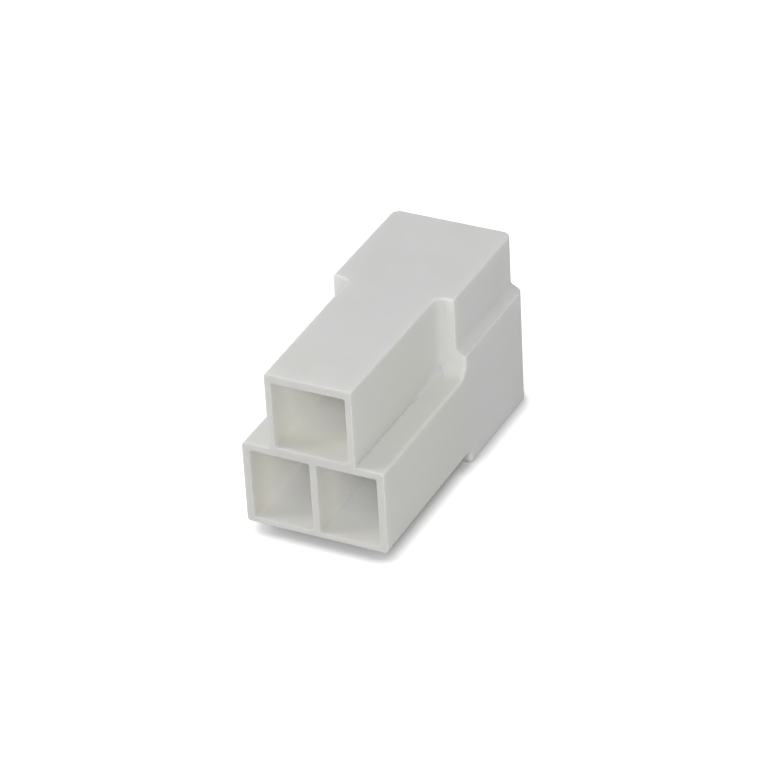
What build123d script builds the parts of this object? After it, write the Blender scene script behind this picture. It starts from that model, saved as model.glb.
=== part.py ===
# Three-way housing for 6.3 mm spade terminals, moulded in one piece.
# Two sleeves side by side and one on top of them take the wires at the front. A wider
# T-shaped hood behind them shields the blades and takes the mating connector.
# Millimetres. X runs across, Y runs from the wire side to the hood's mouth, Z is up.
# The origin is at the middle of the footprint, on the plane that the hood stands on.

import os

from build123d import *

# Lengths
length = 34.1
hood_length = 14.5
cell_depth = 18.0

# Cells, one for each wire, measured at their mouths
upper_cell_width = 8.3
upper_cell_height = 7.7
lower_cell_width = 6.8
lower_cell_height = 8.2
cell_draft_angle = 0.4

# Walls of the sleeves
upper_side_wall = 0.65
top_wall = 0.9
floor_between_cells = 1.06
ledge_wall = 0.78
lower_side_wall = 0.78
centre_wall = 0.72
bottom_wall = 0.55

# How much further out each side of the upper sleeve is at the hood than at its mouth
upper_sleeve_flare = 0.18

# Hood and the partition between it and the cells
side_step = 1.88
ledge_step = 2.3
bottom_step = 1.62
bottom_step_setback = 0.5
hood_wall = 1.15
hood_front_wall = 1.3

# Passages through the partition, one for each blade, with a shoulder for its lance
passage_width = 7.0
passage_thickness = 2.8
lance_recess_thickness = 4.4
lance_recess_depth = 1.3

# Hollow blend at the foot of the upper sleeve, which widens towards the hood
blend_length = 6.5
blend_start_radius = 0.2
blend_end_radius = 1.6

# Roundings
side_foot_radius = 1.0
ledge_step_foot_radius = 1.5
hood_ledge_foot_radius = 1.0
bottom_foot_radius = 1.0
mouth_corner_radius = 1.0
top_edge_radius = 0.2
lower_edge_radius = 0.35
cell_corner_radius = 0.3
cavity_corner_radius = 0.4
passage_corner_radius = 0.2

# Places that follow from the sizes above
front_y = -length / 2
rear_y = length / 2
hood_y = rear_y - hood_length
foot_y = hood_y + bottom_step_setback
cell_end_y = front_y + cell_depth
cavity_floor_y = hood_y + hood_front_wall
lower_cell_x = (centre_wall + lower_cell_width) / 2
lower_cell_z = bottom_step + bottom_wall + lower_cell_height / 2
upper_cell_z = lower_cell_z + (lower_cell_height + upper_cell_height) / 2 + floor_between_cells
ledge_z = lower_cell_z + lower_cell_height / 2 + ledge_wall
hood_ledge_z = ledge_z + ledge_step
top_z = upper_cell_z + upper_cell_height / 2 + top_wall
upper_half_width = upper_cell_width / 2 + upper_side_wall
upper_half_at_hood = upper_half_width + upper_sleeve_flare
hood_upper_half = upper_half_at_hood + side_step
lower_half_width = centre_wall / 2 + lower_cell_width + lower_side_wall

# Distance within which two places count as the same
same_place = 0.01


def section_plane(x, y, z):
    """Upright plane across the length, facing the hood's mouth, with its centre at a point."""
    return Plane(origin=(x, y, z), x_dir=(-1, 0, 0), z_dir=(0, 1, 0))


def mirrored(points):
    """Points on the right, and then the same points on the left in reverse order."""
    return points + [(-x, y) for x, y in reversed(points)]


def round_corners(outline, places, radius):
    """Rounds a flat outline at the corners that lie at the given places."""
    corners = [v for v in outline.vertices()
               if any((Vector(v) - Vector(*place)).length < same_place for place in places)]
    return fillet(corners, radius)


def spans(edge, axis, low, high):
    """Whether an edge reaches from low to high along an axis, and no further."""
    box = edge.bounding_box()
    return (abs(getattr(box.min, axis) - low) < same_place
            and abs(getattr(box.max, axis) - high) < same_place)


def at_an_end(edge):
    """Whether an edge lies in the plane of either mouth."""
    return spans(edge, "Y", front_y, front_y) or spans(edge, "Y", rear_y, rear_y)


def on_lower_side(edge):
    """Whether an edge bounds one of the flush lower sides."""
    return any(spans(edge, "X", x, x) for x in (-lower_half_width, lower_half_width))


def lower_outside():
    """Lower part of the outer form: its side view, with hollow feet at the hood's steps."""
    outline = make_face(Polyline(
        (front_y, bottom_step), (foot_y, bottom_step), (foot_y, 0), (rear_y, 0),
        (rear_y, hood_ledge_z), (hood_y, hood_ledge_z), (hood_y, ledge_z), (front_y, ledge_z),
        close=True))
    outline = round_corners(outline, [(foot_y, bottom_step)], bottom_foot_radius)
    outline = round_corners(outline, [(hood_y, ledge_z)], ledge_step_foot_radius)
    side_view = Plane(origin=(0, 0, 0), x_dir=(0, 1, 0), z_dir=(1, 0, 0))
    body = extrude(side_view * outline, lower_half_width, both=True)
    mouth_corners = [e for e in body.edges()
                     if spans(e, "Y", rear_y, rear_y) and spans(e, "Z", 0, hood_ledge_z)]
    return round_lower_sides(fillet(mouth_corners, mouth_corner_radius))


def round_lower_sides(body):
    """Edges round the flush lower sides, apart from the hood's ledges, which stay sharp."""
    side = [e for e in body.edges() if on_lower_side(e) and not at_an_end(e)
            and not spans(e, "Z", hood_ledge_z, hood_ledge_z)]
    return fillet(side, lower_edge_radius)


def upper_outside():
    """Upper part of the outer form: its plan, with hollow feet at the hood's side steps."""
    outline = make_face(Polyline(*mirrored([
        (upper_half_width, front_y), (upper_half_at_hood, hood_y),
        (hood_upper_half, hood_y), (hood_upper_half, rear_y)]), close=True))
    outline = round_corners(outline, mirrored([(upper_half_at_hood, hood_y)]), side_foot_radius)
    outline = round_corners(outline, mirrored([(hood_upper_half, rear_y)]), mouth_corner_radius)
    low = bottom_step + lower_edge_radius
    body = Pos(0, 0, low) * extrude(outline, top_z - low)
    rim = [e for e in body.edges() if spans(e, "Z", top_z, top_z) and not at_an_end(e)]
    return fillet(rim, top_edge_radius)


def blend_section(x, y, z, radius):
    """Section of a foot blend: its hollow arc and, behind it, a part sunk into both walls."""
    sunk = -upper_side_wall / 2
    behind = Polyline((0, radius), (sunk, radius), (sunk, sunk), (radius, sunk), (radius, 0))
    hollow = RadiusArc((radius, 0), (0, radius), radius)
    foot = Plane(origin=(x, y, z), x_dir=(1, 0, 0), z_dir=(0, -1, 0))
    return foot * make_face(behind + hollow)


def sleeve_foot_blend():
    """Blend between the upper sleeve's right side and the ledge beside it, up to the hood."""
    start_y = hood_y - blend_length
    slope = upper_sleeve_flare / (hood_y - front_y)
    start_x = upper_half_at_hood - slope * blend_length
    return loft([blend_section(start_x, start_y, ledge_z, blend_start_radius),
                 blend_section(upper_half_at_hood, hood_y, ledge_z, blend_end_radius)], ruled=True)


def hood_foot_blend():
    """Blend between the hood's right side and its ledge, which turns with the mouth's corner."""
    turn_y = rear_y - mouth_corner_radius
    section = blend_section(hood_upper_half, hood_y, hood_ledge_z, hood_ledge_foot_radius)
    straight = extrude(section, turn_y - hood_y, dir=(0, 1, 0))
    turning_axis = Axis((hood_upper_half - mouth_corner_radius, turn_y, 0), (0, 0, 1))
    turn = revolve(Pos(0, turn_y - hood_y, 0) * section, turning_axis, 90)
    return (straight + turn) & ledge_prism()


def ledge_prism():
    """Upright prism on the right part of the hood's ledge, with the ledge's own corners."""
    front_corner, rear_corner = (lower_half_width, hood_y), (lower_half_width, rear_y)
    plan = make_face(Polyline((0, hood_y), front_corner, rear_corner, (0, rear_y), close=True))
    plan = round_corners(plan, [front_corner], lower_edge_radius)
    plan = round_corners(plan, [rear_corner], mouth_corner_radius)
    return Pos(0, 0, ledge_z) * extrude(plan, top_z - ledge_z)


def cell(x, z, width, height):
    """Hollow for one wire and terminal, with a slight draft towards its end."""
    mouth = section_plane(x, front_y, z) * RectangleRounded(width, height, cell_corner_radius)
    return extrude(mouth, cell_depth, taper=cell_draft_angle)


def slot(x, z, size, start, end):
    """Rectangular hollow along Y between two places, centred on x and z."""
    outline = section_plane(x, start, z) * RectangleRounded(*size, passage_corner_radius)
    return extrude(outline, end - start)


def blade_passage(x, z, upright):
    """Way for one blade from its cell to the hood, with a shoulder for its lance."""
    throat_size = (passage_width, passage_thickness)
    recess_size = (passage_width, lance_recess_thickness)
    if upright:
        throat_size, recess_size = throat_size[::-1], recess_size[::-1]
    throat = slot(x, z, throat_size, cell_end_y, cavity_floor_y)
    recess = slot(x, z, recess_size, cavity_floor_y - lance_recess_depth, cavity_floor_y)
    return throat + recess


def hood_cavity():
    """T-shaped hollow of the hood, one wall inside its outer form."""
    shoulder_z, ceiling_z = hood_ledge_z - hood_wall, top_z - hood_wall
    low_half, high_half = lower_half_width - hood_wall, hood_upper_half - hood_wall
    outline = make_face(Polyline(*mirrored([
        (low_half, hood_wall), (low_half, shoulder_z), (high_half, shoulder_z),
        (high_half, ceiling_z)]), close=True))
    outline = fillet(outline.vertices(), cavity_corner_radius)
    return extrude(section_plane(0, cavity_floor_y, 0) * outline, rear_y - cavity_floor_y)


def housing():
    """The whole moulding: its outer form, then the hollow of the hood and the cells."""
    body = lower_outside() + upper_outside()
    for blend in (sleeve_foot_blend(), hood_foot_blend()):
        body += blend + mirror(blend, Plane.YZ)
    body -= hood_cavity()
    body -= cell(0, upper_cell_z, upper_cell_width, upper_cell_height)
    body -= blade_passage(0, upper_cell_z, upright=False)
    for side in (-1, 1):
        x = side * lower_cell_x
        body -= cell(x, lower_cell_z, lower_cell_width, lower_cell_height)
        body -= blade_passage(x, lower_cell_z, upright=True)
    return body


os.makedirs("parts", exist_ok=True)
export_step(housing(), "parts/housing.step")
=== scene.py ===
"""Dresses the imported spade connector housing: its milky nylon, a white studio and the camera."""

import math

import bpy
import numpy as np
from bpy.props import FloatProperty, FloatVectorProperty, PointerProperty
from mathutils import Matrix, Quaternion, Vector


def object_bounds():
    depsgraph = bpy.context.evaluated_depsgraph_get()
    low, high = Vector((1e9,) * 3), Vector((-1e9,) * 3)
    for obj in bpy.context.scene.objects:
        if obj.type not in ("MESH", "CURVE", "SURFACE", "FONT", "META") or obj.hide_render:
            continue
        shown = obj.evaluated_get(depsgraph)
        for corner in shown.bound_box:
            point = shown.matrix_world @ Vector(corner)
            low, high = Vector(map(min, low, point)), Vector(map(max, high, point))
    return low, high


bl_info = {
    "name": "Spade connector housing",
    "version": (1, 0, 0),
    "blender": (4, 5, 0),
    "location": "3D View > Sidebar > Housing",
    "description": "Gives the moulded housing its nylon, and sets up its studio and camera",
    "category": "Object",
}

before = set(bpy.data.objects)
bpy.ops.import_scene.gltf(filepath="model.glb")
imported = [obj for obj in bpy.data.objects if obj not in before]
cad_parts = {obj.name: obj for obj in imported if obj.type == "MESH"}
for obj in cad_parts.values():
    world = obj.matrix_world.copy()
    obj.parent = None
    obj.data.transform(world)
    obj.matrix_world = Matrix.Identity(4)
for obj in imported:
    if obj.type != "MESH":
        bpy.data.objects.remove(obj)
CAD_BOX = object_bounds()
MIDDLE = (CAD_BOX[0] + CAD_BOX[1]) / 2
HOUSING = "housing"
MM = 0.001
WHITE = (1, 1, 1, 1)

# Each cell, or pair of cells, as its middle's distance from x = 0, its middle's height, its
# width and its height, all at the mouth, and where all of them end
CELLS = ((0, 15.28 * MM, 8.3 * MM, 7.7 * MM), (3.76 * MM, 6.27 * MM, 6.8 * MM, 8.2 * MM))
CELL_END_Y = 0.95 * MM

# Distance within which a point counts as in a surface
MARGIN = 0.02 * MM

# Share of open sky above a place on the floor below which it is as dark as it gets
CONTACT_OPEN = 0.45

# Half the side of the square floor, and the nearest and furthest that the camera sees, in metres
FLOOR_REACH = 3.0
CAMERA_RANGE = (0.01, 10.0)

# Nylon: its refraction, and how far red, green and blue light spread in it against each other
NYLON_IOR = 1.53
SCATTER_SPREAD = (1.0, 0.92, 0.75)

# Width of the cloudy patches and the part of their noise over which they come in
CLOUD_SIZE = 5 * MM
CLOUD_RANGE = (0.35, 0.75)

# Width and depth of the skin's fine unevenness and how much of it shows
SKIN_SIZE = 0.5 * MM
SKIN_DEPTH = 0.02 * MM
SKIN_STRENGTH = 0.12

# Width of the duller and glossier patches, and how far their roughness varies in all
GLOSS_SIZE = 3 * MM
GLOSS_SWING = 0.10

# Detail of the noise in the clouds and the skin, and the mean of any noise
FINE_DETAIL = 3.0
NOISE_MIDDLE = 0.5

# Sockets that share their names with others, by their number: the object coordinates, and the
# Mix node's share, first and second colour and result
OBJECT_OUTPUT = 3
MIX_COLOUR_INPUTS = (0, 6, 7)
MIX_COLOUR_OUTPUT = 2

# Where the hood starts, and how softly the painted shade on the sleeves' thin side walls ends
# there and below the top
HOOD_Y = 2.55 * MM
SIDE_SHADE_FADE_ALONG = 4.0 * MM
SIDE_SHADE_FADE_DOWN = 0.6 * MM


class Wire:
    """One output of a shader tree. Arithmetic on wires adds the nodes that work it out."""

    def __init__(self, tree, socket):
        self.tree = tree
        self.socket = socket

    def maths(self, operation, *others):
        """A Math node on this wire and other wires or numbers."""
        return self.tree.node("ShaderNodeMath", {"operation": operation}, [self, *others])[0]

    def __add__(self, other):
        return self.maths("ADD", other)

    __radd__ = __add__

    def __sub__(self, other):
        return self.maths("SUBTRACT", other)

    def __rsub__(self, other):
        return self.tree.node("ShaderNodeMath", {"operation": "SUBTRACT"}, [other, self])[0]

    def __mul__(self, other):
        return self.maths("MULTIPLY", other)

    __rmul__ = __mul__

    def __abs__(self):
        return self.maths("ABSOLUTE")


class Tree:
    """A material's or world's node tree, with one way to add any node."""

    def __init__(self, owner):
        owner.use_nodes = True
        self.nodes = owner.node_tree.nodes
        self.links = owner.node_tree.links
        self.nodes.clear()

    def node(self, kind, settings=None, sockets=None):
        """Adds a node, sets its settings, then sets or links its inputs. Returns its outputs."""
        made = self.nodes.new(kind)
        for name, value in (settings or {}).items():
            setattr(made, name, value)
        named = sockets.items() if isinstance(sockets, dict) else enumerate(sockets or [])
        for key, value in named:
            if isinstance(value, Wire):
                self.links.new(value.socket, made.inputs[key])
            else:
                made.inputs[key].default_value = value
        return [Wire(self, output) for output in made.outputs]

    def object_point(self):
        """A point's coordinates in the row frame, in metres."""
        return self.node("ShaderNodeTexCoord")[OBJECT_OUTPUT]

    def noise(self, point, size, detail=2.0):
        """Noise from 0 to 1 whose blobs are about as wide as the given size in metres."""
        return self.node("ShaderNodeTexNoise", {"noise_dimensions": "3D"},
                         {"Vector": point, "Scale": 1 / size, "Detail": detail})[0]

    def ramp(self, value, low, high):
        """Smooth step of a wire from 0 at low to 1 at high."""
        return self.node("ShaderNodeMapRange", {"interpolation_type": "SMOOTHSTEP"},
                         {"Value": value, "From Min": low, "From Max": high})[0]

    def mix(self, share, first, second):
        """Colour between two colours, the second in full where the share is 1."""
        sockets = dict(zip(MIX_COLOUR_INPUTS, (share, first, second)))
        return self.node("ShaderNodeMix", {"data_type": "RGBA"}, sockets)[MIX_COLOUR_OUTPUT]


class HousingFinish(bpy.types.PropertyGroup):
    """What a user would change in the look of the moulding."""

    nylon: FloatVectorProperty(
        name="Nylon", description="Colour of the natural nylon", subtype="COLOR",
        size=3, min=0, max=1, default=(0.770, 0.772, 0.770))
    cloud: FloatVectorProperty(
        name="Cloud", description="Colour of the denser, cloudy patches in the nylon",
        subtype="COLOR", size=3, min=0, max=1, default=(0.752, 0.755, 0.742))
    # Painted warm shade on the sleeves' thin side walls, in place of the light that the thin walls
    # pass
    thin: FloatVectorProperty(
        name="Thin", description="Colour of the sleeves' thin walls, which light shines through",
        subtype="COLOR", size=3, min=0, max=1, default=(0.760, 0.765, 0.730))
    # Painted shade on the sleeves' thin side walls near the cells' mouths, darker than further
    # back
    mouth: FloatVectorProperty(
        name="Mouth", description="Colour of the thin walls near the cells' mouths",
        subtype="COLOR", size=3, min=0, max=1, default=(0.735, 0.737, 0.730))
    # Depth over which the painted shade near the mouths gives way to the painted warm shade
    # further back
    mouth_shade_depth: FloatProperty(
        name="Mouth depth", description="Depth from the mouths at which that colour ends",
        unit="LENGTH", min=0, default=9.0 * MM)
    # Painted shade: the walls' ends round the cells' mouths face the key lamp, and this darker
    # colour takes back its light there
    rim_shade: FloatVectorProperty(
        name="Rim", description="Colour of the walls' ends round the cells' mouths",
        subtype="COLOR", size=3, min=0, max=1, default=(0.62, 0.62, 0.605))
    # Painted light: deep in the cells the colour is lighter and warmer, in place of the light that
    # comes in through the thin walls and bounces round inside
    inside: FloatVectorProperty(
        name="Inside", description="Colour deep in the cells, where the nylon looks warmer",
        subtype="COLOR", size=3, min=0, max=1, default=(0.984, 0.972, 0.905))
    inside_light_depth: FloatProperty(
        name="Inside depth", description="Depth in the cells from which that colour is full",
        unit="LENGTH", min=0, default=5.0 * MM)
    roughness: FloatProperty(
        name="Roughness", description="Roughness of the moulded skin", min=0, max=1, default=0.45)
    scatter_depth: FloatProperty(
        name="Scatter depth", description="How far light spreads inside the nylon",
        unit="LENGTH", min=0, default=1.2 * MM)


class StudioSetup(bpy.types.PropertyGroup):
    """The floor, the lamps and the camera's place."""

    sky: FloatProperty(
        name="Sky", description="Strength of the even light from all round", min=0, default=0.42)
    key: FloatProperty(
        name="Key lamp", description="Light of the lamp in front on a face turned to it",
        min=0, default=0.38)
    key_azimuth: FloatProperty(
        name="Key azimuth", description="Lamp's turn round the part from its wire side",
        subtype="ANGLE", default=math.radians(22))
    key_elevation: FloatProperty(
        name="Key elevation", description="Lamp's height above the horizon",
        subtype="ANGLE", default=math.radians(31))
    fill: FloatProperty(
        name="Fill lamp", description="Light of the lamp on the left on a face turned to it",
        min=0, default=0.23)
    fill_azimuth: FloatProperty(
        name="Fill azimuth", description="Lamp's turn round the part from its wire side",
        subtype="ANGLE", default=math.radians(-65))
    fill_elevation: FloatProperty(
        name="Fill elevation", description="Lamp's height above the horizon",
        subtype="ANGLE", default=math.radians(38))
    lamp_distance: FloatProperty(
        name="Lamp distance", description="From each lamp to the middle of the part",
        unit="LENGTH", min=0.01, default=0.5)
    lamp_size: FloatProperty(
        name="Lamp size", description="Side of each square lamp", unit="LENGTH",
        min=0.01, default=0.15)
    floor: FloatVectorProperty(
        name="Floor", description="Colour of the floor", subtype="COLOR",
        size=3, min=0, max=1, default=(0.85, 0.85, 0.85))
    floor_glow: FloatProperty(
        name="Floor glow", description="What the camera sees added to the floor in the open",
        min=0, default=0.75)
    contact_reach: FloatProperty(
        name="Contact reach", description="How far from the part its contact shadow is seen",
        unit="LENGTH", min=0, default=2.6 * MM)
    azimuth: FloatProperty(
        name="Azimuth", description="Camera's turn round the part from its wire side",
        subtype="ANGLE", default=math.radians(27.69))
    elevation: FloatProperty(
        name="Elevation", description="Camera's height above the horizon",
        subtype="ANGLE", default=math.radians(32.63))
    roll: FloatProperty(
        name="Roll", description="Camera's turn about its own line of sight",
        subtype="ANGLE", default=math.radians(-3.26))
    distance: FloatProperty(
        name="Distance", description="From the camera to the middle of the part",
        unit="LENGTH", min=0.01, default=0.3914)
    lens: FloatProperty(
        name="Lens", description="Focal length on a 36 mm sensor, in millimetres",
        min=1, default=177.95)
    shift: FloatVectorProperty(
        name="Shift", description="Lens shift across and up, in shares of the picture",
        size=2, default=(-0.0049, -0.0012))


def side_shade_share(tree, y, z):
    """Share of the painted shade on the thin walls: 1 on the sleeves' sides, 0 on the top and the
    hood.
    """
    below_top = tree.ramp(z, CAD_BOX[1].z, CAD_BOX[1].z - SIDE_SHADE_FADE_DOWN)
    before_hood = tree.ramp(y, HOOD_Y + SIDE_SHADE_FADE_ALONG, HOOD_Y - SIDE_SHADE_FADE_ALONG)
    return below_top * before_hood


def rim_shade_share(y):
    """1 on the walls' ends round the cells' mouths, where painted shade goes, and 0 elsewhere."""
    return y.maths("LESS_THAN", CAD_BOX[0].y + MARGIN)


def past_mouth(tree, y, depth):
    """0 at the cells' mouths, rising smoothly to 1 at the given depth and behind it."""
    return tree.ramp(y, CAD_BOX[0].y, CAD_BOX[0].y + depth)


def cell_share(tree, x, y, z):
    """1 on the insides of the cells and the walls' ends round them, and 0 elsewhere."""
    within = 0
    for middle_x, middle_z, width, height in CELLS:
        beside = abs(abs(x) - middle_x).maths("LESS_THAN", width / 2 + MARGIN)
        level = abs(z - middle_z).maths("LESS_THAN", height / 2 + MARGIN)
        within = within + beside * level
    return within * y.maths("LESS_THAN", CELL_END_Y + MARGIN)


def nylon_material(finish):
    """Natural nylon: a milky plastic that light spreads in, with a faintly cloudy, satin skin,
    painted shade on the sleeves' sides and the walls' ends round the mouths, and painted light
    deep in the cells.
    """
    material = bpy.data.materials.new("nylon")
    tree = Tree(material)
    point = tree.object_point()
    x, y, z = tree.node("ShaderNodeSeparateXYZ", {}, [point])
    cloud = tree.ramp(tree.noise(point, CLOUD_SIZE, FINE_DETAIL), *CLOUD_RANGE)
    colour = tree.mix(cloud, (*finish.nylon, 1), (*finish.cloud, 1))
    # Painted shade on the sleeves' side walls: darker near the mouths, warmer further back
    thin = tree.mix(past_mouth(tree, y, finish.mouth_shade_depth), (*finish.mouth, 1), (*finish.thin, 1))
    colour = tree.mix(side_shade_share(tree, y, z), colour, thin)
    # Painted shade on the walls' ends round the cells' mouths
    colour = tree.mix(rim_shade_share(y), colour, (*finish.rim_shade, 1))
    # Painted light deep in the cells, growing from the mouths inward
    inside = cell_share(tree, x, y, z) * past_mouth(tree, y, finish.inside_light_depth)
    colour = tree.mix(inside, colour, (*finish.inside, 1))
    bump = tree.node("ShaderNodeBump", {}, {
        "Strength": SKIN_STRENGTH,
        "Distance": SKIN_DEPTH,
        "Height": tree.noise(point, SKIN_SIZE, FINE_DETAIL),
    })[0]
    roughness = finish.roughness + GLOSS_SWING * (tree.noise(point, GLOSS_SIZE) - NOISE_MIDDLE)
    shader = tree.node("ShaderNodeBsdfPrincipled", {"subsurface_method": "RANDOM_WALK"}, {
        "Base Color": colour,
        "Roughness": roughness,
        "Normal": bump,
        "IOR": NYLON_IOR,
        "Subsurface Weight": 1.0,
        "Subsurface Radius": SCATTER_SPREAD,
        "Subsurface Scale": finish.scatter_depth,
    })[0]
    tree.node("ShaderNodeOutputMaterial", {}, [shader])
    return material


def floor_material(setup):
    """Pale floor that looks white to the camera but close to the part, where it is shaded."""
    material = bpy.data.materials.new("floor")
    tree = Tree(material)
    matt = tree.node("ShaderNodeBsdfDiffuse", {}, {"Color": (*setup.floor, 1)})[0]
    glow = tree.node("ShaderNodeEmission", {}, {"Color": WHITE, "Strength": setup.floor_glow})[0]
    lifted = tree.node("ShaderNodeAddShader", {}, [matt, glow])[0]
    seen = tree.node("ShaderNodeLightPath")[0]
    open_share = tree.node("ShaderNodeAmbientOcclusion", {}, {"Distance": setup.contact_reach})[1]
    lit_share = seen * tree.ramp(open_share, CONTACT_OPEN, 1.0)
    shader = tree.node("ShaderNodeMixShader", {}, [lit_share, matt, lifted])[0]
    tree.node("ShaderNodeOutputMaterial", {}, [shader])
    return material


def studio_world(sky):
    """Even light from all round, and a white backdrop to the camera and in reflections."""
    world = bpy.data.worlds.new("studio")
    tree = Tree(world)
    camera_ray, _, _, glossy_ray, _, _, transmission_ray = tree.node("ShaderNodeLightPath")[:7]
    seen = camera_ray.maths("MAXIMUM", glossy_ray).maths("MAXIMUM", transmission_ray)
    light = tree.node("ShaderNodeBackground", {}, {"Color": WHITE, "Strength": sky})[0]
    backdrop = tree.node("ShaderNodeBackground", {}, {"Color": WHITE, "Strength": 1.0})[0]
    shader = tree.node("ShaderNodeMixShader", {}, [seen, light, backdrop])[0]
    tree.node("ShaderNodeOutputWorld", {}, [shader])
    return world


def grid_mesh(name, x, y, z):
    """Quad mesh through a grid of points, whose coordinates come as three arrays of one shape."""
    points = np.stack((x, y, z), axis=-1)
    rows, columns = points.shape[:2]
    corner = np.arange(rows * columns).reshape(rows, columns)
    faces = np.stack([corner[:-1, :-1], corner[:-1, 1:], corner[1:, 1:], corner[1:, :-1]], axis=-1)
    mesh = bpy.data.meshes.new(name)
    mesh.from_pydata(points.reshape(-1, 3).tolist(), [], faces.reshape(-1, 4).tolist())
    return mesh


def place(data, azimuth, elevation, distance, roll=0.0):
    """Object for a camera or lamp that looks at the middle of the part from that direction."""
    holder = bpy.data.objects.new(data.name, data)
    bpy.context.scene.collection.objects.link(holder)
    level = math.cos(elevation)
    away = Vector((math.sin(azimuth) * level, -math.cos(azimuth) * level, math.sin(elevation)))
    holder.location = MIDDLE + away * distance
    holder.rotation_mode = "QUATERNION"
    holder.rotation_quaternion = (-away).to_track_quat("-Z", "Y") @ Quaternion((0, 0, 1), roll)
    return holder


class HOUSING_OT_dress(bpy.types.Operator):
    """Give the moulded housing its nylon"""

    bl_idname = "housing.dress"
    bl_label = "Dress the housing"

    def execute(self, context):
        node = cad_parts[HOUSING]
        node.data.materials.clear()
        node.data.materials.append(nylon_material(context.scene.housing_finish))
        return {"FINISHED"}


class HOUSING_OT_stage(bpy.types.Operator):
    """Build the floor and the lamps"""

    bl_idname = "housing.stage"
    bl_label = "Build the studio"

    def execute(self, context):
        setup = context.scene.housing_studio
        self.lay_floor(setup)
        self.hang_lamp(setup, "key", setup.key, setup.key_azimuth, setup.key_elevation)
        self.hang_lamp(setup, "fill", setup.fill, setup.fill_azimuth, setup.fill_elevation)
        context.scene.world = studio_world(setup.sky)
        context.scene.view_settings.view_transform = "Standard"
        return {"FINISHED"}

    def lay_floor(self, setup):
        """Flat square far larger than the view: height is the housing's underside all over."""
        x, y = np.meshgrid((-FLOOR_REACH, FLOOR_REACH), (-FLOOR_REACH, FLOOR_REACH))
        mesh = grid_mesh("floor", x, y, np.full_like(x, CAD_BOX[0].z))
        mesh.materials.append(floor_material(setup))
        floor = bpy.data.objects.new("floor", mesh)
        bpy.context.scene.collection.objects.link(floor)

    def hang_lamp(self, setup, name, light, azimuth, elevation):
        """
        Soft square lamp that lights a white face turned to it by the given share. Its power in
        watts is that share times (pi x distance) squared, with the distance in metres.
        """
        lamp = bpy.data.lights.new(name, "AREA")
        lamp.size = setup.lamp_size
        lamp.energy = light * (math.pi * setup.lamp_distance) ** 2
        place(lamp, azimuth, elevation, setup.lamp_distance)


class HOUSING_OT_camera(bpy.types.Operator):
    """Place the camera where the photograph was taken from"""

    bl_idname = "housing.camera"
    bl_label = "Place the camera"

    def execute(self, context):
        setup = context.scene.housing_studio
        camera = bpy.data.cameras.new("camera")
        camera.lens = setup.lens
        camera.shift_x, camera.shift_y = setup.shift
        camera.clip_start, camera.clip_end = CAMERA_RANGE
        holder = place(camera, setup.azimuth, setup.elevation, setup.distance, setup.roll)
        context.scene.camera = holder
        return {"FINISHED"}


class HOUSING_PT_sidebar(bpy.types.Panel):
    """Lists the steps that build the scene, with their sizes and colours"""

    bl_idname = "HOUSING_PT_sidebar"
    bl_label = "Housing"
    bl_space_type = "VIEW_3D"
    bl_region_type = "UI"
    bl_category = "Housing"

    def draw(self, context):
        for group in (context.scene.housing_finish, context.scene.housing_studio):
            for name in group.bl_rna.properties.keys():
                if name not in ("rna_type", "name"):
                    self.layout.prop(group, name)
        for step in STEPS:
            self.layout.operator(step.bl_idname)


STEPS = (HOUSING_OT_dress, HOUSING_OT_stage, HOUSING_OT_camera)
CLASSES = (HousingFinish, StudioSetup, *STEPS, HOUSING_PT_sidebar)


def register():
    """Makes the steps, their settings and the panel known to Blender."""
    for made in CLASSES:
        bpy.utils.register_class(made)
    bpy.types.Scene.housing_finish = PointerProperty(type=HousingFinish)
    bpy.types.Scene.housing_studio = PointerProperty(type=StudioSetup)


def unregister():
    """Takes out what register() put in."""
    del bpy.types.Scene.housing_studio
    del bpy.types.Scene.housing_finish
    for made in reversed(CLASSES):
        bpy.utils.unregister_class(made)


def main():
    """Registers the add-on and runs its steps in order."""
    register()
    bpy.ops.housing.dress()
    bpy.ops.housing.stage()
    bpy.ops.housing.camera()


if __name__ == "__main__":
    main()
